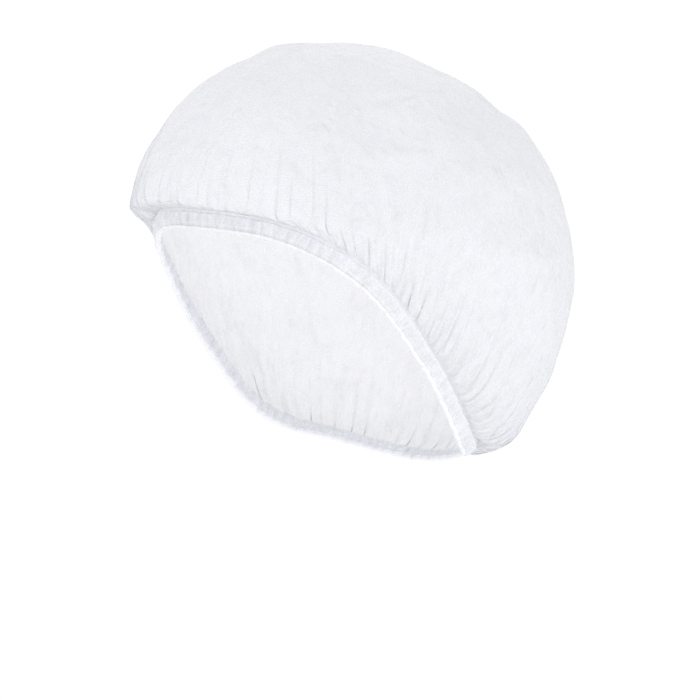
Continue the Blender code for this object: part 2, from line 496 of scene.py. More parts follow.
@dataclass(frozen=True)
class SlackCloth:
    """Lets a sheet with more cloth than its form needs buckle into pleats and crumples.

    The excesses are shares of length, reach and limit are in millimetres, and stretch,
    shear, bending, hold and limit_return are shares put right in one round.
    """

    hem_excess: float = 0.34
    hem_reach: float = 17.0
    bag_excess: float = 0.028
    climb_excess: float = 0.020
    rounds: int = 420
    stretch: float = 0.9
    shear: float = 0.35
    bending: float = 0.08
    hold: float = 0.004
    widest_waves: int = 9
    limit: float = 3.8
    limit_return: float = 0.5
    calm_stages: tuple[float, float] = (2.86, 2.98)
    levelling_rounds: int = 12

    def excess(
        self, distances: np.ndarray, stages: np.ndarray
    ) -> tuple[np.ndarray, np.ndarray]:
        """Share of spare cloth across and up the bag.

        Args:
            distances: Distances from the hem band in millimetres.
            stages: Stages from 1 at the band to 3 at the top.

        Returns:
            Spare cloth across the columns and along them.
        """
        calm = 1.0 - soft_step(stages, *self.calm_stages)
        across = self.bag_excess + self.hem_excess * np.exp(-distances / self.hem_reach)
        return across * calm, self.climb_excess * calm

    def settle(
        self,
        points: np.ndarray,
        face: np.ndarray,
        seed_push: np.ndarray,
        across: np.ndarray,
        climb: np.ndarray,
    ) -> np.ndarray:
        """Relax the springs of the sheet until its spare cloth lies in folds.

        Args:
            points: Points of the smooth bag, columns by rows by x, y, z.
            face: Directions out through the smooth bag.
            seed_push: First unevenness, in millimetres outward.
            across: Spare cloth across the columns.
            climb: Spare cloth along the columns.

        Returns:
            How far each point moved, in millimetres.
        """
        beside = np.roll(points, -1, axis=0)
        slant = 1 + (across[:, 1:] + climb[:, 1:]) / 2
        rest_across = np.linalg.norm(beside - points, axis=-1) * (1 + across)
        rest_climb = np.linalg.norm(points[:, 1:] - points[:, :-1], axis=-1) * (1 + climb[:, 1:])
        rest_rising = np.linalg.norm(beside[:, 1:] - points[:, :-1], axis=-1) * slant
        rest_falling = np.linalg.norm(beside[:, :-1] - points[:, 1:], axis=-1) * slant
        moved = face * seed_push[..., None]
        free = np.ones(points.shape[:2] + (1,))
        free[:, 0] = 0.0
        free[:, -1] = 0.0
        for turn in range(self.rounds):
            # Springs round the head, then up the bag
            now = points + moved
            beside = np.roll(now, -1, axis=0)
            pull = self.spring(beside - now, rest_across, self.stretch)
            now += pull - np.roll(pull, 1, axis=0)
            pull = self.spring(now[:, 1:] - now[:, :-1], rest_climb, self.stretch)
            now[:, :-1] += pull
            now[:, 1:] -= pull
            # Springs across each quad, rising and falling
            beside = np.roll(now, -1, axis=0)
            pull = self.spring(beside[:, 1:] - now[:, :-1], rest_rising, self.shear)
            now[:, :-1] += pull
            now[:, 1:] -= np.roll(pull, 1, axis=0)
            pull = self.spring(beside[:, :-1] - now[:, 1:], rest_falling, self.shear)
            now[:, 1:] += pull
            now[:, :-1] -= np.roll(pull, 1, axis=0)
            # Stiffness against sharp bends
            moved = (now - points) * free
            near = np.roll(moved, 1, axis=0) + np.roll(moved, -1, axis=0)
            near[:, 1:-1] += moved[:, 2:] + moved[:, :-2]
            near[:, 1:-1] *= 0.5
            moved += (near / 2 - moved) * self.bending * free
            # Hold near the smooth bag, firmly beyond the limit
            out = (moved * face).sum(axis=-1, keepdims=True)
            over = out - np.clip(out, -self.limit, self.limit)
            moved -= face * (out * self.hold + over * self.limit_return)
            # Take out broad swells now and then, so that only folds are left
            if turn % self.levelling_rounds == self.levelling_rounds - 1:
                waves = np.fft.rfft(out[..., 0], axis=0)
                waves[self.widest_waves :] = 0.0
                swell = np.fft.irfft(waves, n=len(points), axis=0)
                moved -= face * swell[..., None] * free
        return moved

    @staticmethod
    def spring(gap: np.ndarray, rest: np.ndarray, stiffness: float) -> np.ndarray:
        """Move of a spring's first end towards its rest length.

        Args:
            gap: Vectors from the first end to the second.
            rest: Rest lengths.
            stiffness: Share of the error taken away in one round.

        Returns:
            Moves of the first end; the second moves the other way.
        """
        length = np.linalg.norm(gap, axis=-1)
        share = 0.5 * stiffness * (length - rest) / np.maximum(length, TINY_LENGTH)
        return gap * share[..., None]


# Mesh making


def quads(
    columns: int, rows: int, corners: Corners, closed: bool = False
) -> list[tuple[int, ...]]:
    """Join a closed ring of columns into quads.

    Args:
        columns: Number of columns round the ring.
        rows: Number of points in each column.
        corners: Order of each quad's corners.
        closed: Whether each column closes on itself, as round a thread.

    Returns:
        Corner indices, points counted column by column.
    """
    return [
        tuple((column + c) % columns * rows + (row + r) % rows for c, r in corners.value)
        for column in range(columns)
        for row in range(rows if closed else rows - 1)
    ]


def strip_places(along: np.ndarray, climb: np.ndarray, corners: Corners) -> list[np.ndarray]:
    """Flat places of a strip's quads, in the order that quads() gives them.

    Args:
        along: Distances along the strip in metres, one more than there are columns.
        climb: Distances across the strip in metres, one more than quads in a column.
        corners: Order of each quad's corners.

    Returns:
        The places of each quad's corners.
    """
    return [
        np.array([(along[column + c], climb[row + r]) for c, r in corners.value])
        for column in range(len(along) - 1)
        for row in range(len(climb) - 1)
    ]


def cloth_object(
    name: str,
    points: np.ndarray,
    faces: list[tuple[int, ...]],
    places: list[np.ndarray],
    material: bpy.types.Material,
) -> bpy.types.Object:
    """Make a smooth mesh object with its flat cloth places as a UV map.

    Args:
        name: Name of the piece.
        points: Points in millimetres.
        faces: Corner indices of the faces.
        places: For each face, the flat places of its corners in metres.
        material: Finish of the piece.

    Returns:
        The new object, riding on the cap's one body.
    """
    mesh = bpy.data.meshes.new(name)
    mesh.from_pydata((points * MM).tolist(), [], faces)
    mesh.uv_layers.new(name=FLAT_CLOTH)
    flat = np.concatenate(places).astype(np.float32).ravel()
    mesh.uv_layers[FLAT_CLOTH].data.foreach_set("uv", flat)
    mesh.polygons.foreach_set("use_smooth", [True] * len(mesh.polygons))
    mesh.materials.append(material)
    mesh.update()
    piece = bpy.data.objects.new(name, mesh)
    bpy.context.scene.collection.objects.link(piece)
    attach(piece, "root")
    return piece


def surface_faces(points: np.ndarray) -> np.ndarray:
    """Directions out through a grid of points.

    Args:
        points: Points as columns by rows by x, y, z, the columns closed round.

    Returns:
        Unit directions in the same shape.
    """
    across = np.roll(points, -1, axis=0) - np.roll(points, 1, axis=0)
    climb = np.empty_like(points)
    climb[:, 1:-1] = points[:, 2:] - points[:, :-2]
    climb[:, 0] = points[:, 1] - points[:, 0]
    climb[:, -1] = points[:, -1] - points[:, -2]
    out = np.cross(across, climb)
    return out / np.maximum(np.linalg.norm(out, axis=-1, keepdims=True), TINY_AREA)


# Finishes


class NodeBoard:
    """Short ways to place and join shader nodes in one tree."""

    NOISE_ROUGHNESS = 0.6

    def __init__(self, tree: bpy.types.NodeTree) -> None:
        """Keep the tree to work on."""
        self.tree = tree

    def add(self, kind: str, label: str, **values: object) -> bpy.types.Node:
        """Add a node.

        Args:
            kind: The node's type name, after ShaderNode.
            label: What the node does, in plain words.
            values: Properties of the node.

        Returns:
            The new node.
        """
        node = self.tree.nodes.new("ShaderNode" + kind)
        node.label = label
        for name, value in values.items():
            setattr(node, name, value)
        return node

    def feed(self, socket: Socket, value: object) -> None:
        """Link a socket to another one, or set it to a plain value.

        Args:
            socket: The input to feed.
            value: Plain value or output socket.
        """
        if isinstance(value, Socket):
            self.tree.links.new(value, socket)
        else:
            socket.default_value = value

    def fill(self, node: bpy.types.Node, values: dict[str, object]) -> None:
        """Feed inputs of a node by their names."""
        for name, value in values.items():
            self.feed(node.inputs[name], value)

    def place(self, label: str) -> Socket:
        """Place on the flat cloth, which the pieces hold as a UV map."""
        return self.add("UVMap", label, uv_map=FLAT_CLOTH).outputs[0]

    def math(self, step: str, label: str, first: object, second: object = 0.0) -> Socket:
        """Add a sum on two values.

        Args:
            step: The operation's name.
            label: What it works out.
            first: First value or socket.
            second: Second value or socket.

        Returns:
            The result's socket.
        """
        node = self.add("Math", label, operation=step)
        self.feed(node.inputs[0], first)
        self.feed(node.inputs[1], second)
        return node.outputs[0]

    def ramp(
        self,
        label: str,
        value: object,
        span: tuple[float, float],
        result: tuple[float, float] = (0.0, 1.0),
    ) -> Socket:
        """Map a span of values onto another, held at both ends.

        Args:
            label: What it works out.
            value: Value or socket to map.
            span: Lowest and highest value read.
            result: What those two become.

        Returns:
            The result's socket.
        """
        node = self.add("MapRange", label, interpolation_type="SMOOTHSTEP")
        names = ("Value", "From Min", "From Max", "To Min", "To Max")
        self.fill(node, dict(zip(names, (value, *span, *result))))
        return node.outputs["Result"]

    def noise(self, label: str, place: Socket, scale: object, detail: float) -> Socket:
        """Add a noise texture.

        Args:
            label: What the noise stands for.
            place: Socket with the place to read.
            scale: Lumps in a metre, value or socket.
            detail: Number of finer layers.

        Returns:
            The noise's value socket.
        """
        node = self.add("TexNoise", label)
        values = {"Vector": place, "Scale": scale, "Detail": detail}
        self.fill(node, {**values, "Roughness": self.NOISE_ROUGHNESS})
        return node.outputs[0]

    def mix(self, label: str, share: Socket, first: object, second: object) -> Socket:
        """Blend two colours.

        Args:
            label: What the blend stands for.
            share: Share of the second colour.
            first: First colour or socket.
            second: Second colour or socket.

        Returns:
            The colour's socket.
        """
        node = self.add("Mix", label, data_type="RGBA")
        self.fill(node, {"Factor": share, "A": first, "B": second})
        return node.outputs["Result"]

    def bump(self, label: str, strength: float, depth: float, height: Socket) -> bpy.types.Node:
        """Add a relief.

        Args:
            label: What the relief stands for.
            strength: Share of the relief that shows.
            depth: Depth of the relief in metres.
            height: Socket with the height.

        Returns:
            The relief's node.
        """
        node = self.add("Bump", label)
        self.fill(node, {"Strength": strength, "Distance": depth, "Height": height})
        return node


def start_material(name: str) -> tuple[bpy.types.Material, NodeBoard, bpy.types.Node]:
    """Start a material.

    Args:
        name: Name of the material.

    Returns:
        The material, its board, and its shader.
    """
    material = bpy.data.materials.new(name)
    material.use_nodes = True
    return material, NodeBoard(material.node_tree), material.node_tree.nodes["Principled BSDF"]


class ClothEffect:
    """A shader group that reads places on the flat cloth; each kind names its own sockets."""

    NAME = ""
    PLACE = "Cloth Place"
    INPUTS: tuple[str, ...] = ()
    OUTPUTS: tuple[str, ...] = ()

    def wire(self, board: NodeBoard, given: bpy.types.NodeOutputs) -> tuple[Socket, ...]:
        """Fill the group.

        Args:
            board: The group's nodes.
            given: Sockets with the group's inputs.

        Returns:
            A socket for each output, in their order.
        """
        raise NotImplementedError

    def group(self) -> bpy.types.NodeTree:
        """Build the group once.

        Returns:
            The node group.
        """
        made = bpy.data.node_groups.get(self.NAME)
        if made:
            return made
        tree = bpy.data.node_groups.new(self.NAME, "ShaderNodeTree")
        face = tree.interface
        face.new_socket(self.PLACE, in_out="INPUT", socket_type="NodeSocketVector")
        for name in self.INPUTS:
            face.new_socket(name, in_out="INPUT", socket_type="NodeSocketFloat")
        for name in self.OUTPUTS:
            face.new_socket(name, in_out="OUTPUT", socket_type="NodeSocketFloat")
        sockets = self.wire(NodeBoard(tree), tree.nodes.new("NodeGroupInput").outputs)
        result = tree.nodes.new("NodeGroupOutput")
        for name, socket in zip(self.OUTPUTS, sockets):
            tree.links.new(socket, result.inputs[name])
        return tree

    def use(self, board: NodeBoard, place: Socket, *values: float) -> bpy.types.NodeOutputs:
        """Place the group in a material.

        Args:
            board: The material's nodes.
            place: Place on the flat cloth.
            values: Values of the group's other inputs, in their order.

        Returns:
            The group's outputs.
        """
        node = board.add("Group", self.NAME, node_tree=self.group())
        board.fill(node, {self.PLACE: place, **dict(zip(self.INPUTS, values))})
        return node.outputs


class WebOfFibres(ClothEffect):
    """How densely the fibres lie, from cloudy patches down to single strands.

    Each of the lays is an angle in degrees and the share that its noise is squeezed to.
    """

    NAME = "web of fibres"
    INPUTS = ("Clouds Per Metre", "Strands Per Metre")
    OUTPUTS = ("Density", "Height")
    LAYS = ((25.0, 0.35), (-40.0, 0.4))
    CLOUD_DETAIL = 4.0
    STRAND_DETAIL = 1.0
    CLOUD_SPAN = (0.3, 0.7)
    STRAND_SPAN = (0.42, 0.72)
    STRAND_SHARE = 0.45

    def wire(self, board: NodeBoard, given: bpy.types.NodeOutputs) -> tuple[Socket, ...]:
        """Fill the group.

        Args:
            board: The group's nodes.
            given: Sockets with the group's inputs.

        Returns:
            Density of the fibres, and height of the strands.
        """
        place = given[self.PLACE]
        clouds = board.noise("cloudy patches", place, given["Clouds Per Metre"], self.CLOUD_DETAIL)
        strands = []
        for angle, stretch in self.LAYS:
            lay = board.add("Mapping", "lay of the strands")
            turn = (0.0, 0.0, math.radians(angle))
            board.fill(lay, {"Vector": place, "Rotation": turn, "Scale": (stretch, 1.0, 1.0)})
            many = given["Strands Per Metre"]
            strands.append(board.noise("strands", lay.outputs[0], many, self.STRAND_DETAIL))
        crossed = board.math("MAXIMUM", "crossing strands", *strands)
        thread = board.ramp("clear strands", crossed, self.STRAND_SPAN)
        patch = board.ramp("clear clouds", clouds, self.CLOUD_SPAN)
        part = board.math("MULTIPLY", "share of strands", thread, self.STRAND_SHARE)
        rest = board.math("MULTIPLY", "share of clouds", patch, 1.0 - self.STRAND_SHARE)
        return board.math("ADD", "density", part, rest), thread


class BondPoints(ClothEffect):
    """The lattice of small diamond points that hold the fibres together."""

    NAME = "bond points"
    INPUTS = ("Points Per Metre", "Point Size")
    OUTPUTS = ("Mask",)
    RIM_SPAN = (-0.04, 0.06)

    def wire(self, board: NodeBoard, given: bpy.types.NodeOutputs) -> tuple[Socket, ...]:
        """Fill the group.

        Args:
            board: The group's nodes.
            given: Sockets with the group's inputs.

        Returns:
            Mask of the points.
        """
        split = board.add("SeparateXYZ", "across and along")
        board.feed(split.inputs[0], given[self.PLACE])
        distances = []
        for step, label in (("ADD", "rising rows"), ("SUBTRACT", "falling rows")):
            slant = board.math(step, label, split.outputs[0], split.outputs[1])
            counted = board.math("MULTIPLY", "rows counted", slant, given["Points Per Metre"])
            within = board.math("FRACT", "place in the row", counted)
            middle = board.math("SUBTRACT", "from the middle", within, 0.5)
            distances.append(board.math("ABSOLUTE", "distance", middle))
        farther = board.math("MAXIMUM", "distance from the point", *distances)
        inside = board.math("SUBTRACT", "inside the point", given["Point Size"], farther)
        return (board.ramp("soft rim", inside, self.RIM_SPAN),)


class CrumpleLines(ClothEffect):
    """The straight creases left in thin cloth that was packed flat and crumpled.

    Each of the sizes is a number of times finer than the group's input, and its label.
    """

    NAME = "crumple lines"
    INPUTS = ("Facets Per Metre", "Line Width")
    OUTPUTS = ("Mask", "Height")
    BEND_SCALE = 70.0
    BEND_SHIFT = 0.003
    SIZES = ((1.0, "broad facets"), (2.7, "small facets"))
    STRONG_SPAN = (0.40, 0.70)
    LINE_SPAN = (0.2, 1.6)
    BULGE_SPAN = (0.0, 0.35)
    SMALL_MASK = 0.6
    SMALL_HEIGHT = 0.35

    def wire(self, board: NodeBoard, given: bpy.types.NodeOutputs) -> tuple[Socket, ...]:
        """Fill the group.

        Args:
            board: The group's nodes.
            given: Sockets with the group's inputs.

        Returns:
            Mask of the creases, and height of the facets between them.
        """
        place = given[self.PLACE]
        bend = board.add("TexNoise", "bend of the creases")
        board.fill(bend, {"Vector": place, "Scale": self.BEND_SCALE})
        shift = board.add("VectorMath", "small shift", operation="SCALE")
        board.feed(shift.inputs[0], bend.outputs["Color"])
        board.feed(shift.inputs["Scale"], self.BEND_SHIFT)
        bent = board.add("VectorMath", "bent place", operation="ADD")
        board.feed(bent.inputs[0], place)
        board.feed(bent.inputs[1], shift.outputs[0])
        masks, heights = [], []
        for times, label in self.SIZES:
            scale = board.math("MULTIPLY", label, given["Facets Per Metre"], times)
            cells = board.add("TexVoronoi", label, feature="DISTANCE_TO_EDGE")
            board.fill(cells, {"Vector": bent.outputs[0], "Scale": scale})
            distance = cells.outputs["Distance"]
            patches = board.noise("where creases show", place, scale, 1.0)
            strong = board.ramp("strong and faint creases", patches, self.STRONG_SPAN)
            ratio = board.math("DIVIDE", "distance in widths", distance, given["Line Width"])
            line = board.ramp("crease line", ratio, self.LINE_SPAN, (1.0, 0.0))
            masks.append(board.math("MULTIPLY", "crease", line, strong))
            bulge = board.ramp("bulge between creases", distance, self.BULGE_SPAN)
            heights.append(board.math("MULTIPLY", "facet", bulge, strong))
        small = board.math("MULTIPLY", "fainter small creases", masks[1], self.SMALL_MASK)
        low = board.math("MULTIPLY", "lower small facets", heights[1], self.SMALL_HEIGHT)
        mask = board.math("MAXIMUM", "creases", masks[0], small)
        return mask, board.math("ADD", "facets", heights[0], low)


@dataclass(frozen=True)
class NonwovenFinish:
    """Sheer white spunbond cloth.

    The covers are shares of the light stopped, and relief and crumple are each a strength
    and a depth in metres.
    """

    name: str
    tint: tuple[float, float, float] = (0.81, 0.815, 0.862)
    thin_shade: float = 0.965
    clouds_per_metre: float = 120.0
    strands_per_metre: float = 1500.0
    bonds_per_metre: float = 620.0
    bond_size: float = 0.24
    facets_per_metre: float = 42.0
    crease_width: float = 0.10
    cover: float = 0.55
    cover_change: float = 0.17
    cover_span: tuple[float, float] = (0.1, 0.9)
    bond_cover: float = -0.08
    crease_cover: float = 0.10
    roughness: float = 0.72
    bond_roughness: float = 0.5
    bond_height: float = -0.8
    relief: tuple[float, float] = (0.2, 0.0001)
    crumple: tuple[float, float] = (0.5, 0.0030)
    specular: float = 0.3
    sheen: float = 0.12
    fold_edge: float = 0.0
    fold_fade: float = 1.7
    fold_cover: float = 0.93
    # Colour along the fold: a painted highlight, lighter than the cloth beside it
    fold_highlight_tint: tuple[float, float, float] = (0.91, 0.915, 0.955)

    def material(self) -> bpy.types.Material:
        """Build the material.

        Returns:
            The material, its see-through share driven by the fibres.
        """
        material, board, shader = start_material(self.name)
        place = board.place("place on the flat cloth")
        web = WebOfFibres().use(board, place, self.clouds_per_metre, self.strands_per_metre)
        bonds = BondPoints().use(board, place, self.bonds_per_metre, self.bond_size)["Mask"]
        creases = CrumpleLines().use(board, place, self.facets_per_metre, self.crease_width)
        density = web["Density"]

        limits = (self.cover - self.cover_change / 2, self.cover + self.cover_change / 2)
        spread = board.ramp("cover of the fibres", density, self.cover_span, limits)
        thinner = board.math("MULTIPLY", "thinner at the bonds", bonds, self.bond_cover)
        denser = board.math("MULTIPLY", "at the creases", creases["Mask"], self.crease_cover)
        even = board.math("ADD", "cover of the flat cloth", spread, thinner)
        cover = board.math("ADD", "cover", even, denser)
        dark = tuple(value * self.thin_shade for value in self.tint)
        shade = board.mix("thin and dense places", density, (*dark, 1.0), (*self.tint, 1.0))
        if self.fold_edge:
            cover, shade = self.add_fold(board, place, cover, shade)

        lower = board.math("MULTIPLY", "pressed bonds", bonds, self.bond_height)
        height = board.math("ADD", "height", web["Height"], lower)
        facets = board.bump("crumpled facets", *self.crumple, creases["Height"])
        bump = board.bump("cloth relief", *self.relief, height)
        board.feed(bump.inputs["Normal"], facets.outputs["Normal"])
        glosses = (self.roughness, self.bond_roughness)
        values = {
            "Alpha": cover,
            "Base Color": shade,
            "Roughness": board.ramp("smoother at the bonds", bonds, (0.0, 1.0), glosses),
            "Normal": bump.outputs["Normal"],
            "Specular IOR Level": self.specular,
            "Sheen Weight": self.sheen,
        }
        board.fill(shader, values)
        return material

    def add_fold(
        self, board: NodeBoard, place: Socket, cover: Socket, shade: Socket
    ) -> tuple[Socket, Socket]:
        """Make the cloth dense along its fold, the middle line of the strip, and paint a highlight
        there.

        Args:
            board: The material's nodes.
            place: Place on the flat cloth.
            cover: Cover of the cloth away from the fold.
            shade: Colour of the cloth away from the fold.

        Returns:
            Cover with the denser fold, and colour with the painted highlight on the fold.
        """
        split = board.add("SeparateXYZ", "along and across the strip")
        board.feed(split.inputs[0], place)
        aside = board.math("ABSOLUTE", "distance from the fold", split.outputs[1])
        span = (self.fold_edge, self.fold_edge * self.fold_fade)
        fold = board.ramp("folded edge", aside, span, (self.fold_cover, 0.0))
        # Painted highlight: the fold's colour is made lighter than the cloth beside it
        bright = board.mix("painted highlight on the fold", fold, shade, (*self.fold_highlight_tint, 1.0))
        return board.math("MAXIMUM", "denser cover", cover, fold), bright


@dataclass(frozen=True)
class ElasticFinish:
    """Matt white covered elastic thread; the relief is a strength and a depth in metres."""

    name: str = "elastic thread"
    tint: tuple[float, float, float] = (0.92, 0.92, 0.94)
    # Painted shade in the gaps between the ribs: the share of the tint left there
    gap_shade: float = 0.82
    ribs_per_metre: float = 900.0
    rib_sway: float = 1.2
    relief: tuple[float, float] = (1.0, 0.0001)
    roughness: float = 0.65

    def material(self) -> bpy.types.Material:
        """Build the material.

        Returns:
            The material, with the wound cover as fine ribs and painted shade in the gaps between
            them.
        """
        material, board, shader = start_material(self.name)
        ribs = board.add("TexWave", "wound cover", wave_type="BANDS")
        place = board.place("place on the thread")
        values = {"Vector": place, "Scale": self.ribs_per_metre, "Distortion": self.rib_sway}
        board.fill(ribs, values)
        height = ribs.outputs["Fac"]
        # Painted shade: the gaps between the ribs get a darker colour
        dark = tuple(value * self.gap_shade for value in self.tint)
        shade = board.mix("ribs and painted shade in the gaps", height, (*dark, 1.0), (*self.tint, 1.0))
        normal = board.bump("rib relief", *self.relief, height).outputs["Normal"]
        values = {"Base Color": shade, "Normal": normal, "Roughness": self.roughness}
        board.fill(shader, values)
        return material


# Pieces of the cap


@dataclass
class Crown:
    """The puffed bag: one sheet of sheer cloth from inside the hem to the top.

    Lengths are in millimetres. The spans unsmoothed, undented and uncreased are distances
    from the band over which each change sets in.
    """

    form: CapForm
    gathers: Gathers
    slack: SlackCloth
    finish: NonwovenFinish
    columns: int = 720
    rows: int = 94
    inside_levels: tuple[float, ...] = (3.6, 5.2, 7.0, 8.6)
    inner_depth: float = 0.35
    crumple: float = 2.6
    broad_lumps: Lumps = Lumps(46.0, 3.7)
    small_lumps: Lumps = Lumps(20.0, 11.3)
    small_where: Lumps = Lumps(60.0, 23.1)
    broad_share: float = 1.4
    small_share: float = 0.55
    crease_middle: float = 0.25
    smoothing_rounds: int = 4
    unsmoothed: tuple[float, float] = (2.0, 8.0)
    undented: tuple[float, float] = (2.0, 20.0)
    uncreased: tuple[float, float] = (3.0, 26.0)
    calm_stages: tuple[float, float] = (2.93, 3.0)

    def bag(self) -> tuple[np.ndarray, np.ndarray]:
        """Points of the bag above the hem band.

        Returns:
            The points, and their distances from the band.
        """
        bearings = round_the_head(self.columns)
        points, distances, stages = self.form.meridians(bearings, self.rows + 1)
        self.soften(points, distances)
        face = surface_faces(points)
        turned = np.broadcast_to(bearings[:, None], stages.shape)
        push = self.form.dents(turned, stages) * soft_step(distances, *self.undented)
        push += self.creases(points) * soft_step(distances, *self.uncreased)
        calm = 1.0 - soft_step(stages, *self.calm_stages)
        points += face * (push * calm)[..., None]
        self.soften(points, distances)
        face = surface_faces(points)
        ripple = self.gathers.bag_ripple(bearings, distances) * calm
        across, climb = self.slack.excess(distances, stages)
        return points + self.slack.settle(points, face, ripple, across, climb), distances

    def soften(self, points: np.ndarray, distances: np.ndarray) -> None:
        """Round off the sharpest bends up the bag, but not next to the band.

        Args:
            points: Points of the bag, changed in place.
            distances: Distances from the band in millimetres.
        """
        keep = soft_step(distances[:, 1:-1], *self.unsmoothed)[..., None]
        for _ in range(self.smoothing_rounds):
            relaxed = (points[:, :-2] + 2 * points[:, 1:-1] + points[:, 2:]) / 4
            points[:, 1:-1] += (relaxed - points[:, 1:-1]) * keep

    def creases(self, points: np.ndarray) -> np.ndarray:
        """Papery crumples of the thin cloth.

        Args:
            points: Points of the smooth bag.

        Returns:
            Distances outward in millimetres.
        """
        broad = self.crease_middle - np.abs(self.broad_lumps.at(points))
        small = self.crease_middle - np.abs(self.small_lumps.at(points))
        where = np.clip(0.5 + self.small_where.at(points), 0.0, 1.0)
        return self.crumple * (self.broad_share * broad + self.small_share * where * small)

    def build(self) -> bpy.types.Object:
        """Make the crown and dress it.

        Returns:
            The crown, which replaces its plain solid.
        """
        bearings = round_the_head(self.columns)
        ripple = self.inner_depth * (2.0 * self.gathers.fold(bearings) - 1.0)
        levels = [self.form.band_point(bearings, level, ripple) for level in self.inside_levels]
        bag, distances = self.bag()
        sheet = np.concatenate([np.stack(levels, axis=1), bag[:, :-1]], axis=1)
        rows = sheet.shape[1]
        points = np.concatenate([sheet.reshape(-1, 3), bag[:, -1].mean(axis=0)[None]])
        whole = distances[:, -1:]
        inner = whole + self.form.band_level - np.array([self.inside_levels])
        reach = np.concatenate([inner, whole - distances[:, :-1]], axis=1) * MM
        turn = np.radians(bearings)[:, None]
        flat = np.stack([reach * np.sin(turn), -reach * np.cos(turn)], axis=-1).reshape(-1, 2)
        flat = np.concatenate([flat, np.zeros((1, 2))])
        faces = quads(self.columns, rows, Corners.BAG)
        last = [(column + 1) * rows - 1 for column in range(self.columns)]
        faces += [(low, high, len(flat) - 1) for low, high in zip(last, last[1:] + last[:1])]
        places = [flat[list(face)] for face in faces]
        crown = cloth_object("crown_cloth", points, faces, places, self.finish.material())
        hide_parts("crown")
        return crown


@dataclass
class HemCasing:
    """The strip of cloth folded round the edge of the crown, drawn into small pleats.

    Lengths are in millimetres. Each of the pleat shares is a level up the strip and the
    share of the pleats' depth there.
    """

    form: CapForm
    gathers: Gathers
    finish: NonwovenFinish
    columns: int = 1080
    half_depth: float = 0.95
    lowest_level: float = 0.1
    fold_level: float = 1.9
    fold_turns: tuple[int, ...] = tuple(range(0, 181, 20))
    fullness: float = 2.4
    edge_depth: float = 0.45
    scallop: float = 0.30
    scallop_reach: float = 4.0
    mouth_sway: float = 0.18
    mouth_wave: Unevenness = Unevenness(31, 10, 44)
    pleat_shares: tuple[tuple[float, float], ...] = (
        (8.5, 0.70),
        (7.4, 0.85),
        (6.2, 1.00),
        (5.0, 1.00),
        (3.9, 0.85),
        (2.9, 0.65),
    )

    def section(self) -> list[tuple[float, float, float]]:
        """Path across the strip.

        Returns:
            Level, side and share of the pleats' depth, from the outer mouth round the
            fold to the inner mouth.
        """
        path = [(level, 1.0, share) for level, share in self.pleat_shares]
        for turn in self.fold_turns:
            angle = math.radians(turn)
            level = self.fold_level - (self.fold_level - self.lowest_level) * math.sin(angle)
            path.append((level, math.cos(angle), self.edge_depth))
        path += [(level, -1.0, share) for level, share in reversed(self.pleat_shares)]
        return path

    def build(self) -> bpy.types.Object:
        """Make the casing and dress it.

        Returns:
            The casing, which replaces its plain solid.
        """
        bearings = round_the_head(self.columns)
        path = self.section()
        height = self.pleat_shares[0][0]
        outer = self.gathers.fold(bearings)
        inner = self.gathers.fold(bearings + HALF_TURN / self.gathers.count)
        scallop = self.scallop * (outer - 0.5)
        sway = self.mouth_sway * self.mouth_wave.at(bearings)
        rows = []
        for level, side, share in path:
            fold = outer if side > 0 else inner
            depth = side * (self.half_depth + self.gathers.casing_depth * share * fold)
            slack = sway * (level / height) ** 2
            edge = scallop * max(1.0 - level / self.scallop_reach, 0.0)
            rows.append(self.form.band_point(bearings, level + slack + edge, depth))
        points = np.stack(rows, axis=1).reshape(-1, 3)
        along = self.form.hem_lengths(bearings) * self.fullness * MM
        climb = [0.0]
        for low, high in zip(path, path[1:]):
            across = (high[1] - low[1]) * self.half_depth
            climb.append(climb[-1] + math.hypot(high[0] - low[0], across) * MM)
        faces = quads(self.columns, len(path), Corners.CASING)
        places = strip_places(along, np.array(climb) - climb[-1] / 2, Corners.CASING)
        casing = cloth_object("hem_casing_cloth", points, faces, places, self.finish.material())
        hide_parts("hem_casing")
        return casing


@dataclass
class ElasticThread:
    """The round elastic in the fold of the casing; lengths in millimetres."""

    form: CapForm
    finish: ElasticFinish
    columns: int = 540
    sides: int = 12
    radius: float = 0.6
    level: float = 1.9

    def build(self) -> bpy.types.Object:
        """Make the thread and dress it.

        Returns:
            The thread, which replaces its plain solid.
        """
        bearings = round_the_head(self.columns)
        rows = []
        for side in range(self.sides):
            angle = 2 * math.pi * side / self.sides
            level = self.level - self.radius * math.sin(angle)
            rows.append(self.form.band_point(bearings, level, self.radius * math.cos(angle)))
        points = np.stack(rows, axis=1).reshape(-1, 3)
        along = self.form.hem_lengths(bearings) * MM
        around = 2 * math.pi * self.radius / self.sides * MM
        faces = quads(self.columns, self.sides, Corners.THREAD, closed=True)
        places = strip_places(along, np.arange(self.sides + 1) * around, Corners.THREAD)
        thread = cloth_object("elastic_thread", points, faces, places, self.finish.material())
        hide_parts("elastic")
        return thread


# Studio


@dataclass(frozen=True)
class SoftLight:
    """A square soft light that faces the cap: degrees, watts and metres."""

    role: LightRole
    turn: float
    tilt: float
    power: float
    size: float


LIGHTS: tuple[SoftLight, ...] = (
    SoftLight(LightRole.KEY, -35.0, 40.0, 17.0, 0.8),
    SoftLight(LightRole.SIDE, 102.0, 8.0, 10.0, 0.9),
    SoftLight(LightRole.FRONT, 45.0, -10.0, 12.0, 1.0),
    SoftLight(LightRole.BACK, 205.0, 35.0, 14.0, 1.2),
)


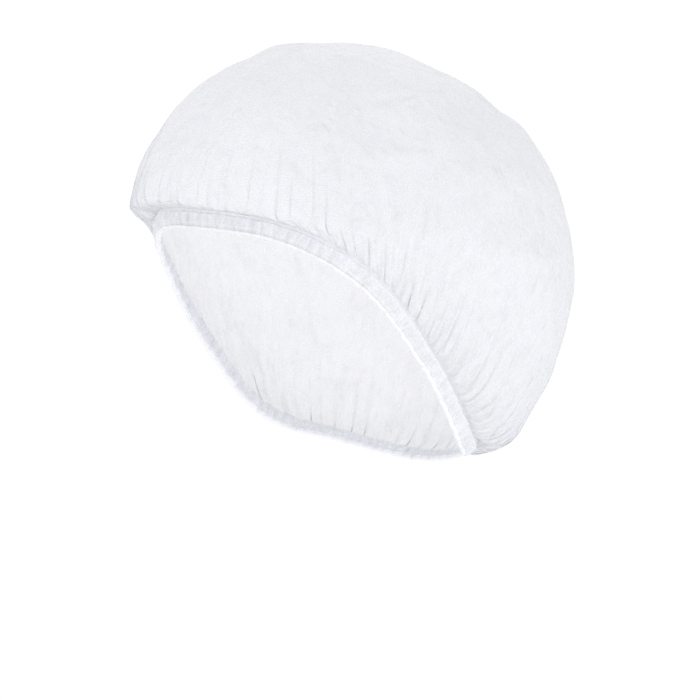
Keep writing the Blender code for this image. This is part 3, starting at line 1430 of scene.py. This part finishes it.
@dataclass
class Studio:
    """Plain pale floor, soft light all round and the camera.

    Lengths are in metres and the sensor in millimetres. Sky, backdrop and floor_light are
    strengths: of the room and the floor as lights, and of both to the eye.
    """

    azimuth: float = 40.0
    elevation: float = 8.0
    distance: float = 2.2
    picture_width: float = 0.3395
    aim_right: float = 0.0189
    aim_up: float = 0.0068
    sensor: float = 36.0
    farthest_seen: float = 200.0
    floor_level: float = -1.6
    floor_radius: float = 45.0
    floor_sides: int = 96
    sky: float = 0.65
    backdrop: float = 1.03
    floor_light: float = 1.0
    light_distance: float = 2.4
    light_aim: float = 0.05

    @staticmethod
    def towards(azimuth: float, elevation: float) -> Vector:
        """Direction from the cap to a place in the studio.

        Args:
            azimuth: Degrees round from straight ahead, towards the left ear.
            elevation: Degrees above level.

        Returns:
            A direction one long.
        """
        turn, rise = math.radians(azimuth), math.radians(elevation)
        level = math.cos(rise)
        return Vector((math.sin(turn) * level, -math.cos(turn) * level, math.sin(rise)))

    @staticmethod
    def put(name: str, data: bpy.types.ID) -> bpy.types.Object:
        """Put a mesh, a light or a camera into the scene.

        Args:
            name: Name of the object.
            data: What the object holds.

        Returns:
            The new object.
        """
        made = bpy.data.objects.new(name, data)
        bpy.context.scene.collection.objects.link(made)
        return made

    def camera(self) -> bpy.types.Object:
        """Place the camera.

        Returns:
            The camera.
        """
        turn = math.radians(self.azimuth)
        right = Vector((math.cos(turn), math.sin(turn), 0.0))
        back = self.towards(self.azimuth, self.elevation)
        up = back.cross(right)
        lens = bpy.data.cameras.new("studio camera")
        lens.sensor_width = self.sensor
        lens.lens = self.sensor * self.distance / self.picture_width
        lens.clip_end = self.farthest_seen
        eye = self.put("studio camera", lens)
        eye.location = right * self.aim_right + up * self.aim_up + back * self.distance
        eye.rotation_euler = (-back).to_track_quat("-Z", "Y").to_euler()
        bpy.context.scene.camera = eye
        return eye

    def floor(self) -> bpy.types.Object:
        """Lay the floor at the height a standing wearer gives it.

        Returns:
            The floor.
        """
        mesh = bpy.data.meshes.new("floor")
        turns = [2 * math.pi * side / self.floor_sides for side in range(self.floor_sides)]
        radius = self.floor_radius
        points = [
            (radius * math.cos(turn), radius * math.sin(turn), self.floor_level) for turn in turns
        ]
        mesh.from_pydata(points, [], [tuple(range(self.floor_sides))])
        mesh.materials.append(self.floor_finish())
        floor = self.put("floor", mesh)
        return floor

    def floor_finish(self) -> bpy.types.Material:
        """Pale matt floor that is lit to plain white for the camera.

        Returns:
            The material.
        """
        material, board, shader = start_material("pale floor")
        board.tree.nodes.remove(shader)
        glow = board.add("Emission", "lit white")
        board.feed(glow.inputs["Strength"], self.seen_strength(board, self.floor_light))
        board.feed(board.tree.nodes["Material Output"].inputs["Surface"], glow.outputs[0])
        return material

    def seen_strength(self, board: NodeBoard, as_light: float) -> Socket:
        """Strength that differs for the eye and for lighting the cap.

        Args:
            board: Nodes of the floor or the room.
            as_light: Strength for lighting the cap.

        Returns:
            The strength's socket.
        """
        path = board.add("LightPath", "seen or lighting")
        strength = board.add("MapRange", "strength for each")
        seen = path.outputs["Is Camera Ray"]
        board.fill(strength, {"Value": seen, "To Min": as_light, "To Max": self.backdrop})
        return strength.outputs[0]

    def room(self) -> bpy.types.World:
        """White room, dimmer as a light than it is to the eye.

        Returns:
            The world.
        """
        world = bpy.data.worlds.new("soft white room")
        world.use_nodes = True
        board = NodeBoard(world.node_tree)
        values = {"Color": (1.0, 1.0, 1.0, 1.0), "Strength": self.seen_strength(board, self.sky)}
        board.fill(world.node_tree.nodes["Background"], values)
        return world

    def hang(self, light: SoftLight) -> None:
        """Hang one soft light.

        Args:
            light: Place, strength and size of the light.
        """
        lamp = bpy.data.lights.new(light.role.value, "AREA")
        lamp.energy = light.power
        lamp.size = light.size
        holder = self.put(light.role.value, lamp)
        back = self.towards(light.turn, light.tilt)
        holder.location = back * self.light_distance + Vector((0.0, 0.0, self.light_aim))
        holder.rotation_euler = (-back).to_track_quat("-Z", "Y").to_euler()

    def build(self) -> None:
        """Set up the light, the floor and the camera."""
        scene = bpy.context.scene
        scene.view_settings.view_transform = "Standard"
        scene.world = self.room()
        for light in LIGHTS:
            self.hang(light)
        self.floor()
        self.camera()


def main() -> None:
    """Build the studio and the cap, piece by piece."""
    logging.basicConfig(level=logging.INFO, format="%(name)s: %(message)s")
    form = CapForm()
    gathers = Gathers()
    Studio().build()
    log.info("studio ready")
    cloth = NonwovenFinish("nonwoven cloth")
    crown = Crown(form, gathers, SlackCloth(), cloth).build()
    log.info("%s has %d faces", crown.name, len(crown.data.polygons))
    # The hem cloth is a lighter copy of the crown's cloth: painted light against the shade of the
    # layered hem band
    hem_cloth_lightened = NonwovenFinish("hem cloth", tint=(0.93, 0.935, 0.975), fold_edge=0.0017)
    casing = HemCasing(form, gathers, hem_cloth_lightened).build()
    log.info("%s has %d faces", casing.name, len(casing.data.polygons))
    thread = ElasticThread(form, ElasticFinish()).build()
    log.info("%s has %d faces", thread.name, len(thread.data.polygons))


if __name__ == "__main__":
    main()
